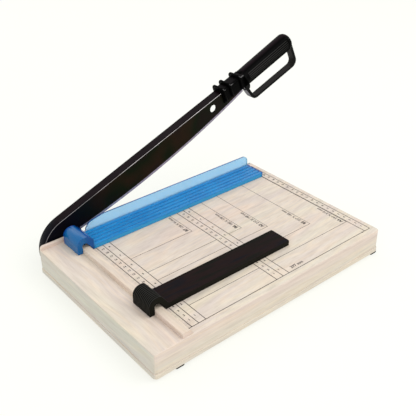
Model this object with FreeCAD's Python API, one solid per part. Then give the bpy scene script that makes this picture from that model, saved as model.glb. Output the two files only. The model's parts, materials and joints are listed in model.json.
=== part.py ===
import FreeCAD, Part
import math
import os
from FreeCAD import Vector

# Guillotine paper cutter for sheets up to 297 mm wide, in millimetres.
# Frame: +Z up, +X along the cutting edge from the hinge to the handle, +Y from the front
# edge to the cutting edge. The origin is the middle of the front left foot's underside,
# so the table top is Z = 0. The arm is drawn at its half-open rest position.

# ---------------------------------------------------------------- driving dimensions
# Base: a wood-look shell standing on a slightly larger plinth with four feet.
BASE_X = (-34.5, 340.5)
BASE_Y = (-6.0, 248.0)
FOOT_H = 3.5
PLINTH_H = 6.0
PLINTH_PROUD = 1.0
PLINTH_FLOOR = 3.0
PLINTH_RING = 4.0
PLINTH_EDGE_R = 0.7
BOARD_Z = 37.6
SHELL_WALL = 3.0
SHELL_TOP = 4.0
SHELL_CORNER_R = 4.0
BACK_CORNER_R = 1.6
SHELL_TOP_R = 1.3
FOOT_SIZE = 12.0
FOOT_CORNER_R = 1.8
FOOT_EDGE_R = 0.6
FOOT_STEM_R = 2.5
FOOT_X = (0.0, 335.0)
FOOT_Y = (0.0, 240.0)
BOARD_RIB_T = 2.0
BOARD_RIB_LOW = 22.0
BOARD_RIB_X = (92.0, 157.0, 222.0)
BOARD_RIB_Y = (75.0, 160.0)
BOSS_X = (-24.0, 148.0, 315.0)
BOSS_Y = (3.0, 228.0)
CASE_BOSS_R = 4.5
CASE_HOLE_TOP = 26.0
SCREW_R = 1.4
SCREW_HEAD_R = 3.4
CASE_SCREW_LEN = 18.0

# Rulers start at this corner of the board; the fence stands just outside it.
RULER_X = 20.5
RULER_Y = 4.5

# Side fence: a raised rail with an upright outer face and a sloping inner face.
FENCE_OUT = -15.0
FENCE_TOP_IN = -4.5
FENCE_FOOT_IN = -0.25
FENCE_H = 6.7
FENCE_Y0 = -4.4
FENCE_EDGE_R = 0.9
FENCE_SCREW_Y = (15.0, 90.0, 165.0, 238.0)
FENCE_SCREW_IN = 4.0
FENCE_HOLE_IN = 4.5
FENCE_HEAD_R = 3.0
FENCE_HEAD_H = 2.2
RIM_H = 5.7
RIM_T = 4.2
RIM_X0 = -33.5
RIM_END_R = 4.2
RIM_EDGE_R = 0.8

# Bed knife: the fixed steel strip along the cutting edge.
KNIFE_T = 2.5
KNIFE_X = (-4.0, 339.0)
KNIFE_H = 24.0
KNIFE_SCREW_X = (60.0, 125.0, 190.0, 255.0, 320.0)
KNIFE_SCREW_Z = 27.0
KNIFE_CORNER_R = 3.0
KNIFE_SCREW_R = 2.0
KNIFE_HEAD_R = 4.0
KNIFE_SCREW_LEN = 12.0
KNIFE_NUT_AF = 7.0
KNIFE_NUT_H = 3.2

# Arm pivot.
PIVOT_X = 17.5
PIVOT_Z = 22.1
BOLT_R = 4.0
BUSH_CLEAR = 0.05
BUSH_R = 6.0
BUSH_FLANGE_R = 9.0
BUSH_FLANGE_T = 1.6
SPRING_GAP = 0.3
SPRING_H = 2.0
SPRING_R = 8.5
SPRING_T = 0.9
WASHER_R = 8.0
WASHER_T = 1.2
BRACKET_T = 3.0
BRACKET_HALF = 25.0
BRACKET_TOP = 33.0
BRACKET_FOOT = 13.0
NUT_AF = 13.0
NUT_H = 6.0
NUT_ROUND_R = 9.4
NUT_FACE_R = 6.2
NUT_DOME_LOW = 1.8
NUT_DOME_HIGH = 1.4
BOLT_HEAD_H = 5.3
BOLT_REACH = 14.5
BOLT_TIP = 0.8

# Arm: a pressed steel angle, blade and stiffening flange in one piece. Its own frame has
# the pivot at (0, 0), s along the fold and h square to it, and is turned by ARM_REST.
ARM_REST = 21.1
ARM_Y = 250.85
STEEL_T = 2.5
FLANGE_W = 14.45
FOLD_H = 45.0
FOLD_R = 2.0
FLANGE_TIP_DEG = 168.0
BOSS_R = 15.0
EDGE_LOW_S = 142.0
EDGE_LOW_H = 8.3
EDGE_R = 1330.0
EDGE_S = (19.0, 333.0)
BEVEL = 2.0
WEB_END_S = 334.5
TANG_S = 424.0
TANG_H = (33.0, 43.0)
WEB_HOLE = (276.4, 31.6)
WEB_HOLE_R = 5.75

# Handle: sleeve with three ribs, collar, fluted grip and strap guard.
HANDLE_Y = 258.0
SLEEVE_S = (297.0, 343.0)
SLEEVE_Y = (247.85, 268.0)
SLEEVE_H = (27.2, 48.2)
SLEEVE_LOW_R = 2.0
SLEEVE_TOP_R = 4.0
RIB_S = (298.0, 311.0, 331.2)
RIB_T = 3.6
RIB_PROUD = 5.0
RIB_OUT = 3.2
RIB_FOOT_UP = 2.0
RIB_FOOT_R = 2.0
RIB_TOP_R = 7.0
RIB_ROUND = 0.45
COLLAR_S = (342.0, 344.6)
COLLAR_H = 32.6
COLLAR_R = 16.2
COLLAR_EDGE_R = 0.8
GRIP_START = (344.6, 36.4)
GRIP_TILT = 2.2
GRIP_LEN = 101.0
GRIP_R = (13.2, 14.0)
GRIP_END_R = 9.0
FLUTE_R = 1.5
FLUTE_OFFSET = 0.5
FLUTE_START = 6.0
FLUTES_A_SIDE = 6
FLUTE_FROM = 38.0
FLUTE_STEP = 13.0
GUARD_Y = (253.1, 264.3)
GUARD_BEND_OUT = 11.0
GUARD_BEND_IN = 8.0
FIT_GAP = 0.1
HANDLE_SCREWS = ((306.0, 35.0), (322.0, 35.0))
HANDLE_SCREW_R = 1.5
HANDLE_HOLE_R = 1.6
HANDLE_HEAD_R = 3.0
HANDLE_SINK_R = 3.2
HANDLE_SINK = 2.4
HANDLE_HEAD_DOWN = 0.4
HANDLE_SLOT = 0.8
HANDLE_SLOT_DEEP = 1.0

# Press bar and paper guide: both have a head that rides over the fence.
HEAD_LIFT = 0.4
LEG_OUT = -22.4
LEG_IN = -15.4
HEAD_TOP = 22.4
NOTCH_TOP = 14.0
BAR_SHOULDER = (2.2, 14.4)
BAR_FLANK_X = 2.5
GUIDE_SHOULDER = (1.4, 12.0)
GUIDE_FLANK_X = 4.4
BAR_Y = (203.5, 239.8)
BAR_END = 303.5
BAR_TOP = 7.0
BAR_RIDGES = 5
RIDGE_RISE = 1.0
BAR_SKIN = 2.6
BAR_STUB = 6.0
BAR_CORNER_R = 2.5
HOLLOW_FROM = 8.0
FIN_T = 2.0
FIN_X = (11.0, 303.4)
FIN_TOP = 21.8
GUIDE_Y = (46.5, 79.9)
GUIDE_END = 200.5
GUIDE_TOP = 7.4
GUIDE_STUB = 9.0
GUIDE_FLANK_R = 4.0
GUIDE_CORNER_R = 1.6
GUIDE_EDGE_R = 0.7
GUIDE_ROOF = 3.0
GUIDE_HOLLOW_FROM = 12.0
GUIDE_PLATE_FROM = 8.0
PAD_INSET = 8.0
PAD_LIFT = 0.3
GROOVES = 12
GROOVE_W = 1.2
GROOVE_DEEP = 0.6

PLINTH_Z = FOOT_H + PLINTH_H
KNIFE_Y = BASE_Y[1] + KNIFE_T
BUSH_BACK = ARM_Y + STEEL_T + BUSH_FLANGE_T
SPRING_Y = (BUSH_BACK + SPRING_GAP, BUSH_BACK + SPRING_GAP + SPRING_H)
NUT_Y = SPRING_Y[1] + WASHER_T


# ---------------------------------------------------------------- helpers
def box(x, y, z):
    """Block between the two values given on each axis."""
    size = (x[1] - x[0], y[1] - y[0], z[1] - z[0])
    return Part.makeBox(size[0], size[1], size[2], Vector(x[0], y[0], z[0]))


def rod(radius, start, end):
    """Round bar from start to end."""
    a = Vector(*start)
    line = Vector(*end) - a
    return Part.makeCylinder(radius, line.Length, a, line)


def cone(r_start, r_end, start, end):
    a = Vector(*start)
    line = Vector(*end) - a
    return Part.makeCone(r_start, r_end, line.Length, a, line)


def rounded_outline(corners, place):
    """Closed wire through (u, v, radius) corners; place turns (u, v) into a 3-D point."""
    count = len(corners)
    stretches = []
    for i in range(count):
        u, v, radius = corners[i]
        here = Vector(u, v, 0)
        before = Vector(corners[i - 1][0], corners[i - 1][1], 0)
        after = Vector(corners[(i + 1) % count][0], corners[(i + 1) % count][1], 0)
        if radius <= 0:
            stretches.append((here, None, here))
            continue
        back = (before - here).normalize()
        ahead = (after - here).normalize()
        half = back.getAngle(ahead) / 2
        reach = radius / math.tan(half)
        centre = here + (back + ahead).normalize() * (radius / math.sin(half))
        middle = centre + (here - centre).normalize() * radius
        stretches.append((here + back * reach, middle, here + ahead * reach))
    edges = []
    for i in range(count):
        start, middle, end = stretches[i]
        if middle is not None:
            arc = Part.Arc(place(start), place(middle), place(end))
            edges.append(arc.toShape())
        following = stretches[(i + 1) % count][0]
        if (following - end).Length > 1e-6:
            edges.append(Part.makeLine(place(end), place(following)))
    return Part.Wire(edges)


def prism_y(corners, y):
    """Outline in X and Z, pulled along Y from y[0] to y[1]."""
    wire = rounded_outline(corners, lambda p: Vector(p.x, y[0], p.y))
    return Part.Face(wire).extrude(Vector(0, y[1] - y[0], 0))


def prism_z(corners, z):
    """Outline in X and Y, pulled up from z[0] to z[1]."""
    wire = rounded_outline(corners, lambda p: Vector(p.x, p.y, z[0]))
    return Part.Face(wire).extrude(Vector(0, 0, z[1] - z[0]))


def slab(x, y, z, front_r, back_r):
    """Block with rounded upright corners."""
    corners = [(x[0], y[0], front_r), (x[1], y[0], front_r), (x[1], y[1], back_r), (x[0], y[1], back_r)]
    return prism_z(corners, z)


def edges_where(shape, test):
    return [edge for edge in shape.Edges if test(edge.BoundBox)]


def joined(pieces):
    whole = pieces[0]
    for piece in pieces[1:]:
        whole = whole.fuse(piece)
    return whole.removeSplitter()


def save(name, shape):
    shape.exportStep("parts/" + name + ".step")


def to_arm(shape):
    """Move a shape from the arm's own frame to its rest position."""
    moved = shape.copy()
    moved.rotate(Vector(0, 0, 0), Vector(0, 1, 0), -ARM_REST)
    moved.translate(Vector(PIVOT_X, 0, PIVOT_Z))
    return moved


def countersunk_screw(head_r, shank_r, length, tip, way):
    """Flat-head screw whose flat top is at tip, pointing along way, with a cross slot."""
    top = Vector(*tip)
    axis = Vector(*way)
    head_h = head_r - shank_r
    head = Part.makeCone(head_r, shank_r, head_h, top, axis)
    shank = Part.makeCylinder(shank_r, length, top, axis)
    screw = head.fuse(shank)
    side = axis.cross(Vector(1, 0, 0)) if abs(axis.x) < 0.5 else axis.cross(Vector(0, 1, 0))
    side.normalize()
    other = axis.cross(side)
    for along, across in ((side, other), (other, side)):
        reach = along * head_r * 0.55
        width = across * head_r * 0.11
        slot = Part.makePolygon([top - reach - width, top + reach - width, top + reach + width,
                                 top - reach + width, top - reach - width])
        screw = screw.cut(Part.Face(slot).extrude(axis * head_h * 0.7))
    return screw.removeSplitter()


def hexagon(across_flats, centre, y):
    """Six-sided block along Y."""
    r = across_flats / math.sqrt(3)
    corners = []
    for i in range(6):
        turn = math.radians(60 * i)
        corners.append((centre[0] + r * math.cos(turn), centre[1] + r * math.sin(turn), 0))
    return prism_y(corners, y)


# ---------------------------------------------------------------- base
def case_points():
    return [(x, y) for x in BOSS_X for y in BOSS_Y]


def base_shell():
    """Hollow case; its top edges are rounded except at the back, where the knife stands flush."""
    z = (PLINTH_Z, BOARD_Z)
    block = slab(BASE_X, (BASE_Y[0], BASE_Y[1] + 10.0), z, SHELL_CORNER_R, 0)
    top_edges = edges_where(block, lambda b: b.ZMin > BOARD_Z - 0.01 and b.YMin < BASE_Y[1])
    block = block.makeFillet(SHELL_TOP_R, top_edges)
    outer = block.common(slab(BASE_X, BASE_Y, z, SHELL_CORNER_R, BACK_CORNER_R))
    inside_x = (BASE_X[0] + SHELL_WALL, BASE_X[1] - SHELL_WALL)
    inside_y = (BASE_Y[0] + SHELL_WALL, BASE_Y[1] - SHELL_WALL)
    roof = BOARD_Z - SHELL_TOP
    shell = outer.cut(box(inside_x, inside_y, (PLINTH_Z - 1, roof)))
    rib_z = (BOARD_RIB_LOW, roof)
    ribs = [box((x, x + BOARD_RIB_T), inside_y, rib_z) for x in BOARD_RIB_X]
    ribs += [box(inside_x, (y, y + BOARD_RIB_T), rib_z) for y in BOARD_RIB_Y]
    bosses = [rod(CASE_BOSS_R, (x, y, FOOT_H + PLINTH_FLOOR), (x, y, roof)) for x, y in case_points()]
    shell = joined([shell] + ribs + bosses)
    for x, y in case_points():
        shell = shell.cut(rod(SCREW_R, (x, y, FOOT_H), (x, y, CASE_HOLE_TOP)))
    shell = shell.cut(rod(BOLT_R, (PIVOT_X, inside_y[1] - 1, PIVOT_Z), (PIVOT_X, BASE_Y[1] + 1, PIVOT_Z)))
    for x in KNIFE_SCREW_X:
        hole = rod(KNIFE_SCREW_R, (x, inside_y[1] - 1, KNIFE_SCREW_Z), (x, BASE_Y[1] + 1, KNIFE_SCREW_Z))
        shell = shell.cut(hole)
    for x, y in fence_screw_points():
        shell = shell.cut(rod(SCREW_R, (x, y, roof - 1), (x, y, BOARD_Z + 1)))
    return shell


def plinth():
    """Bottom plate: a shallow tray that closes the shell and carries the feet."""
    x = (BASE_X[0] - PLINTH_PROUD, BASE_X[1] + PLINTH_PROUD)
    y = (BASE_Y[0] - PLINTH_PROUD, BASE_Y[1])
    body = slab(x, y, (FOOT_H, PLINTH_Z), SHELL_CORNER_R + PLINTH_PROUD, BACK_CORNER_R + PLINTH_PROUD)
    lip = edges_where(body, lambda b: b.ZMin > PLINTH_Z - 0.01)
    body = body.makeFillet(PLINTH_EDGE_R, lip)
    ring = PLINTH_RING + PLINTH_PROUD
    tray_z = (FOOT_H + PLINTH_FLOOR, PLINTH_Z + 1)
    hollow = box((x[0] + ring, x[1] - ring), (y[0] + ring, y[1] - ring), tray_z)
    body = body.cut(hollow)
    for px, py in case_points():
        top = (px, py, FOOT_H)
        body = body.cut(rod(SCREW_R, top, (px, py, PLINTH_Z)))
        body = body.cut(cone(SCREW_HEAD_R, SCREW_R, top, (px, py, FOOT_H + SCREW_HEAD_R - SCREW_R)))
    for fx in FOOT_X:
        for fy in FOOT_Y:
            body = body.cut(rod(FOOT_STEM_R, (fx, fy, FOOT_H - 1), (fx, fy, PLINTH_Z + 1)))
    return body


def rubber_foot(fx, fy):
    half = FOOT_SIZE / 2
    pad = slab((fx - half, fx + half), (fy - half, fy + half), (0.0, FOOT_H), FOOT_CORNER_R, FOOT_CORNER_R)
    rim = edges_where(pad, lambda b: b.ZMax < 0.01)
    pad = pad.makeFillet(FOOT_EDGE_R, rim)
    stem = rod(FOOT_STEM_R, (fx, fy, FOOT_H), (fx, fy, PLINTH_Z - 1.0))
    return pad.fuse(stem).removeSplitter()


def case_screws():
    up = (0, 0, 1)
    screws = []
    for x, y in case_points():
        screws.append(countersunk_screw(SCREW_HEAD_R, SCREW_R, CASE_SCREW_LEN, (x, y, FOOT_H), up))
    return Part.makeCompound(screws)


def fence_screw_points():
    x = RULER_X + (FENCE_OUT + FENCE_TOP_IN) / 2
    return [(x, y) for y in FENCE_SCREW_Y]


def side_fence():
    base = [(FENCE_OUT, 0, 0), (FENCE_OUT, FENCE_H, FENCE_EDGE_R),
            (FENCE_TOP_IN, FENCE_H, FENCE_EDGE_R), (FENCE_FOOT_IN, 0, 0)]
    corners = [(RULER_X + u, BOARD_Z + v, r) for u, v, r in base]
    rail = prism_y(corners, (FENCE_Y0, BASE_Y[1]))
    for x, y in fence_screw_points():
        rail = rail.cut(rod(SCREW_R, (x, y, BOARD_Z), (x, y, BOARD_Z + FENCE_HOLE_IN)))
    return rail


def fence_screws():
    roof = BOARD_Z - SHELL_TOP
    screws = []
    for x, y in fence_screw_points():
        head = rod(FENCE_HEAD_R, (x, y, roof - FENCE_HEAD_H), (x, y, roof))
        shank = rod(SCREW_R, (x, y, roof), (x, y, BOARD_Z + FENCE_SCREW_IN))
        screws.append(head.fuse(shank).removeSplitter())
    return Part.makeCompound(screws)


def hinge_rim():
    """Low wall on the cutting side of the strip outside the fence, rounded at its free end."""
    end = RULER_X + FENCE_OUT
    top = BOARD_Z + RIM_H
    corners = [(RIM_X0, BOARD_Z, 0), (RIM_X0, top, RIM_END_R), (end, top, 0), (end, BOARD_Z, 0)]
    rim = prism_y(corners, (BASE_Y[1] - RIM_T, BASE_Y[1]))
    long_edges = edges_where(rim, lambda b: b.XLength > 20 and b.ZMin > BOARD_Z + 1)
    return rim.makeFillet(RIM_EDGE_R, long_edges)


# ---------------------------------------------------------------- bed knife and pivot
def bed_knife():
    strip = box(KNIFE_X, (BASE_Y[1], KNIFE_Y), (BOARD_Z - KNIFE_H, BOARD_Z))
    corners = edges_where(strip, lambda b: b.YLength > 1 and b.XLength < 0.01 and b.ZMax < BOARD_Z - 1)
    strip = strip.makeFillet(KNIFE_CORNER_R, corners)
    strip = strip.cut(rod(BOLT_R, (PIVOT_X, BASE_Y[1] - 1, PIVOT_Z), (PIVOT_X, KNIFE_Y + 1, PIVOT_Z)))
    for x in KNIFE_SCREW_X:
        face = (x, KNIFE_Y, KNIFE_SCREW_Z)
        head_end = (x, KNIFE_Y - (KNIFE_HEAD_R - KNIFE_SCREW_R), KNIFE_SCREW_Z)
        inner = (x, BASE_Y[1] - 1, KNIFE_SCREW_Z)
        strip = strip.cut(rod(KNIFE_SCREW_R, inner, (x, KNIFE_Y + 1, KNIFE_SCREW_Z)))
        strip = strip.cut(cone(KNIFE_HEAD_R, KNIFE_SCREW_R, face, head_end))
    return strip


def knife_screws():
    screws = []
    for x in KNIFE_SCREW_X:
        tip = (x, KNIFE_Y, KNIFE_SCREW_Z)
        screws.append(countersunk_screw(KNIFE_HEAD_R, KNIFE_SCREW_R, KNIFE_SCREW_LEN, tip, (0, -1, 0)))
    return Part.makeCompound(screws)


def knife_nuts():
    inner = BASE_Y[1] - SHELL_WALL
    nuts = []
    for x in KNIFE_SCREW_X:
        nut = hexagon(KNIFE_NUT_AF, (x, KNIFE_SCREW_Z), (inner - KNIFE_NUT_H, inner))
        start = (x, inner - KNIFE_NUT_H - 1, KNIFE_SCREW_Z)
        nuts.append(nut.cut(rod(KNIFE_SCREW_R, start, (x, inner + 1, KNIFE_SCREW_Z))))
    return Part.makeCompound(nuts)


def pivot_bracket():
    """Steel angle inside the shell that spreads the pivot's load and stands on the plinth's ring."""
    inner = BASE_Y[1] - SHELL_WALL
    x = (PIVOT_X - BRACKET_HALF, PIVOT_X + BRACKET_HALF)
    plate = box(x, (inner - BRACKET_T, inner), (PLINTH_Z, BRACKET_TOP))
    foot = box(x, (inner - BRACKET_FOOT, inner - BRACKET_T), (PLINTH_Z, PLINTH_Z + BRACKET_T))
    bracket = plate.fuse(foot).removeSplitter()
    hole = rod(BOLT_R, (PIVOT_X, inner - BRACKET_T - 1, PIVOT_Z), (PIVOT_X, inner + 1, PIVOT_Z))
    return bracket.cut(hole)


def pivot_bolt():
    head_y = BASE_Y[1] - SHELL_WALL - BRACKET_T
    end_y = ARM_Y + BOLT_REACH
    head = hexagon(NUT_AF, (PIVOT_X, PIVOT_Z), (head_y - BOLT_HEAD_H, head_y))
    shank = rod(BOLT_R, (PIVOT_X, head_y, PIVOT_Z), (PIVOT_X, end_y, PIVOT_Z))
    tip = edges_where(shank, lambda b: b.YMin > end_y - 0.1)
    shank = shank.makeChamfer(BOLT_TIP, tip)
    return head.fuse(shank).removeSplitter()


def ring_y(r_in, r_out, y):
    outer = rod(r_out, (PIVOT_X, y[0], PIVOT_Z), (PIVOT_X, y[1], PIVOT_Z))
    return outer.cut(rod(r_in, (PIVOT_X, y[0] - 1, PIVOT_Z), (PIVOT_X, y[1] + 1, PIVOT_Z)))


def pivot_bush():
    sleeve = ring_y(BOLT_R + BUSH_CLEAR, BUSH_R, (ARM_Y, BUSH_BACK))
    flange = ring_y(BOLT_R + BUSH_CLEAR, BUSH_FLANGE_R, (ARM_Y + STEEL_T, BUSH_BACK))
    return sleeve.fuse(flange).removeSplitter()


def disc_spring():
    """Conical spring washer that keeps the blade against the bed knife."""
    y0, y1 = SPRING_Y
    profile = [(BOLT_R, y1 - SPRING_T), (SPRING_R, y0), (SPRING_R, y0 + SPRING_T), (BOLT_R, y1)]
    points = [Vector(PIVOT_X + r, y, PIVOT_Z) for r, y in profile]
    face = Part.Face(Part.makePolygon(points + [points[0]]))
    return face.revolve(Vector(PIVOT_X, 0, PIVOT_Z), Vector(0, 1, 0), 360)


def pivot_washer():
    return ring_y(BOLT_R, WASHER_R, (SPRING_Y[1], NUT_Y))


def pivot_nut():
    """Hexagon nut whose outer corners are turned down to a cone."""
    nut = hexagon(NUT_AF, (PIVOT_X, PIVOT_Z), (NUT_Y, NUT_Y + NUT_H))
    cone_low = (PIVOT_X, NUT_Y + NUT_H - NUT_DOME_LOW, PIVOT_Z)
    cone_high = (PIVOT_X, NUT_Y + NUT_H + NUT_DOME_HIGH, PIVOT_Z)
    below = (PIVOT_X, NUT_Y - 1, PIVOT_Z)
    envelope = rod(NUT_ROUND_R, below, cone_low).fuse(cone(NUT_ROUND_R, NUT_FACE_R, cone_low, cone_high))
    return nut.common(envelope).cut(rod(BOLT_R, below, (PIVOT_X, NUT_Y + NUT_H + 2, PIVOT_Z)))


# ---------------------------------------------------------------- arm
def on_circle(radius, degrees):
    turn = math.radians(degrees)
    return radius * math.cos(turn), radius * math.sin(turn)


def edge_height(s):
    """Height of the curved cutting edge at s."""
    return EDGE_LOW_H + EDGE_R - math.sqrt(EDGE_R ** 2 - (s - EDGE_LOW_S) ** 2)


def arm_point(p):
    return Vector(p[0], ARM_Y, p[1])


def arm_outline():
    """Side view of the steel arm, with the tang that the grip covers."""
    start = (EDGE_S[0], edge_height(EDGE_S[0]))
    end = (EDGE_S[1], edge_height(EDGE_S[1]))
    tip = on_circle(FOLD_H, FLANGE_TIP_DEG)
    left_tangent = FLANGE_TIP_DEG + math.degrees(math.acos(BOSS_R / FOLD_H))
    start_deg = math.degrees(math.atan2(start[1], start[0]))
    right_tangent = start_deg - math.degrees(math.acos(BOSS_R / math.hypot(*start)))
    boss_left = on_circle(BOSS_R, left_tangent)
    boss_low = on_circle(BOSS_R, 270)
    boss_right = on_circle(BOSS_R, right_tangent)
    route = [end, (WEB_END_S, end[1]), (WEB_END_S, TANG_H[0]), (TANG_S, TANG_H[0]),
             (TANG_S, TANG_H[1]), (WEB_END_S, TANG_H[1]), (WEB_END_S, FOLD_H), (0.0, FOLD_H)]
    edges = [Part.makeLine(arm_point(a), arm_point(b)) for a, b in zip(route, route[1:])]
    shoulder = on_circle(FOLD_H, (90 + FLANGE_TIP_DEG) / 2)
    edges.append(Part.Arc(arm_point((0.0, FOLD_H)), arm_point(shoulder), arm_point(tip)).toShape())
    edges.append(Part.makeLine(arm_point(tip), arm_point(boss_left)))
    edges.append(Part.Arc(arm_point(boss_left), arm_point(boss_low), arm_point(boss_right)).toShape())
    edges.append(Part.makeLine(arm_point(boss_right), arm_point(start)))
    low = (EDGE_LOW_S, EDGE_LOW_H)
    edges.append(Part.Arc(arm_point(start), arm_point(low), arm_point(end)).toShape())
    return Part.Wire(edges)


def steel_arm():
    block = Part.Face(arm_outline()).extrude(Vector(0, FLANGE_W, 0))
    web_back = ARM_Y + STEEL_T
    beyond = ARM_Y + FLANGE_W + 1
    under = FOLD_H - STEEL_T
    hollow = joined([
        box((0, WEB_END_S + 200), (web_back, beyond), (-60, under)),
        box((WEB_END_S, WEB_END_S + 200), (web_back, beyond), (-60, 60)),
        Part.makeCylinder(under, beyond - web_back, Vector(0, web_back, 0), Vector(0, 1, 0)),
    ])
    arm = block.cut(hollow)
    fold = edges_where(arm, lambda b: b.YMax < ARM_Y + 0.01 and (
        (b.ZMin > FOLD_H - 0.01 and b.XLength > 100) or (b.XMin < -40 and b.ZMax > FOLD_H - 0.01)))
    arm = arm.makeFillet(FOLD_R, fold)
    ground = edges_where(arm, lambda b: abs(b.YMin - web_back) < 0.01 and abs(b.YMax - web_back) < 0.01
                         and b.XLength > 200 and b.ZMax < 30)
    arm = arm.makeChamfer(BEVEL, ground)
    for s, h, r in ((WEB_HOLE[0], WEB_HOLE[1], WEB_HOLE_R), (0.0, 0.0, BUSH_R)):
        arm = arm.cut(rod(r, (s, ARM_Y - 1, h), (s, web_back + 1, h)))
    return arm


def steel_envelope():
    """The steel's shape inside the handle, with a small fitting gap all round."""
    gap = FIT_GAP
    s = (SLEEVE_S[0] - 5, WEB_END_S + gap)
    web = box(s, (ARM_Y - gap, ARM_Y + STEEL_T + gap), (EDGE_LOW_H, FOLD_H + gap))
    flange = box(s, (ARM_Y - gap, ARM_Y + FLANGE_W + gap), (FOLD_H - STEEL_T - gap, FOLD_H + gap))
    tang = box((WEB_END_S - 1, TANG_S + gap), (ARM_Y - gap, ARM_Y + STEEL_T + gap),
               (TANG_H[0] - gap, TANG_H[1] + gap))
    return joined([web, flange, tang])


def rib_plate(s):
    """Plate square to the sleeve, standing proud of its top and sides, with a well-rounded rim."""
    y = (SLEEVE_Y[0] - RIB_OUT, SLEEVE_Y[1] + RIB_OUT)
    h = (SLEEVE_H[0] + RIB_FOOT_UP, SLEEVE_H[1] + RIB_PROUD)
    corners = [(y[0], h[0], RIB_FOOT_R), (y[1], h[0], RIB_FOOT_R),
               (y[1], h[1], RIB_TOP_R), (y[0], h[1], RIB_TOP_R)]
    wire = rounded_outline(corners, lambda p: Vector(s, p.x, p.y))
    plate = Part.Face(wire).extrude(Vector(RIB_T, 0, 0))
    return plate.makeFillet(RIB_T * RIB_ROUND, [e for e in plate.Edges if e.BoundBox.XLength < 0.01])


def grip_turned(shape):
    """Tilt a shape made along +X from the origin onto the grip's axis."""
    moved = shape.copy()
    moved.rotate(Vector(0, 0, 0), Vector(0, 1, 0), -GRIP_TILT)
    moved.translate(Vector(GRIP_START[0], HANDLE_Y, GRIP_START[1]))
    return moved


def grip_body():
    """Slightly tapered round grip with a flat rounded end and long flutes along both sides."""
    r0, r1 = GRIP_R
    flat = GRIP_LEN - GRIP_END_R
    bend = GRIP_END_R * math.sin(math.radians(45))
    start = -2.0
    edges = [Part.makeLine(Vector(start, 0, 0), Vector(start, 0, r0)),
             Part.makeLine(Vector(start, 0, r0), Vector(flat, 0, r1)),
             Part.Arc(Vector(flat, 0, r1), Vector(flat + bend, 0, r1 - GRIP_END_R + bend),
                      Vector(GRIP_LEN, 0, r1 - GRIP_END_R)).toShape(),
             Part.makeLine(Vector(GRIP_LEN, 0, r1 - GRIP_END_R), Vector(GRIP_LEN, 0, 0)),
             Part.makeLine(Vector(GRIP_LEN, 0, 0), Vector(start, 0, 0))]
    body = Part.Face(Part.Wire(edges)).revolve(Vector(0, 0, 0), Vector(1, 0, 0), 360)
    near = r0 + FLUTE_OFFSET
    far = r1 + FLUTE_OFFSET
    for side in (-1, 1):
        for i in range(FLUTES_A_SIDE):
            turn = math.radians(FLUTE_FROM - i * FLUTE_STEP)
            y = side * math.cos(turn)
            z = math.sin(turn)
            body = body.cut(rod(FLUTE_R, (FLUTE_START, y * near, z * near), (flat, y * far, z * far)))
    return grip_turned(body)


def hand_guard():
    """Strap from the collar, round below the fingers and up onto the grip's end, thicker there."""
    loop = [(338.6, 30.0, 0), (350.9, -7.0, GUARD_BEND_OUT), (449.8, -5.3, GUARD_BEND_OUT),
            (447.4, 36.0, 2.0), (442.4, 36.0, 0),
            (444.6, -1.9, GUARD_BEND_IN), (354.4, -3.5, GUARD_BEND_IN), (344.4, 30.0, 0)]
    return prism_y(loop, GUARD_Y)


def handle_grip():
    block = box(SLEEVE_S, SLEEVE_Y, SLEEVE_H)
    low_edges = edges_where(block, lambda b: b.XLength > 20 and b.ZMax < SLEEVE_H[0] + 1)
    block = block.makeFillet(SLEEVE_LOW_R, low_edges)
    top_edges = edges_where(block, lambda b: b.XLength > 20 and b.ZMin > SLEEVE_H[1] - 1)
    block = block.makeFillet(SLEEVE_TOP_R, top_edges)
    ribs = [rib_plate(s) for s in RIB_S]
    collar = Part.makeCylinder(COLLAR_R, COLLAR_S[1] - COLLAR_S[0],
                               Vector(COLLAR_S[0], HANDLE_Y, COLLAR_H), Vector(1, 0, 0))
    collar = collar.makeFillet(COLLAR_EDGE_R, [e for e in collar.Edges if e.BoundBox.XLength < 0.01])
    handle = joined([block] + ribs + [collar, grip_body()])
    handle = handle.cut(steel_envelope())
    handle = handle.cut(hand_guard())
    outside = SLEEVE_Y[1] + 1
    for s, h in HANDLE_SCREWS:
        handle = handle.cut(rod(HANDLE_HOLE_R, (s, ARM_Y + STEEL_T, h), (s, outside, h)))
        handle = handle.cut(rod(HANDLE_SINK_R, (s, SLEEVE_Y[1] - HANDLE_SINK, h), (s, outside, h)))
    return handle


def handle_screws():
    seat = SLEEVE_Y[1] - HANDLE_SINK
    face = SLEEVE_Y[1] - HANDLE_HEAD_DOWN
    screws = []
    for s, h in HANDLE_SCREWS:
        head = rod(HANDLE_HEAD_R, (s, seat, h), (s, face, h))
        shank = rod(HANDLE_SCREW_R, (s, ARM_Y + STEEL_T + FIT_GAP, h), (s, seat, h))
        screw = head.fuse(shank).removeSplitter()
        reach = (s - HANDLE_SINK_R, s + HANDLE_SINK_R)
        width = (h - HANDLE_SLOT / 2, h + HANDLE_SLOT / 2)
        slot = box(reach, (face - HANDLE_SLOT_DEEP, SLEEVE_Y[1]), width)
        screws.append(screw.cut(slot))
    return Part.makeCompound(screws)


# ---------------------------------------------------------------- press bar and paper guide
def head_outline(plate_top, shoulder, flank_x, foot_r, stub):
    """Front view of a head: leg, rounded back, notch for the fence and a stub of its plate."""
    low = HEAD_LIFT
    return [
        (LEG_OUT, low, 0.6), (LEG_OUT, HEAD_TOP, 10.5), (-6.0, HEAD_TOP, 6.5),
        (shoulder[0], shoulder[1], 0.8), (flank_x, plate_top, foot_r),
        (stub, plate_top, 0), (stub, low, 0), (0.5, low, 0), (-5.8, 9.9, 2.0),
        (-9.4, NOTCH_TOP, 2.2), (LEG_IN, NOTCH_TOP, 3.4), (LEG_IN, low, 0.4)]


def on_board(corners):
    return [(RULER_X + u, BOARD_Z + v, r) for u, v, r in corners]


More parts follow.
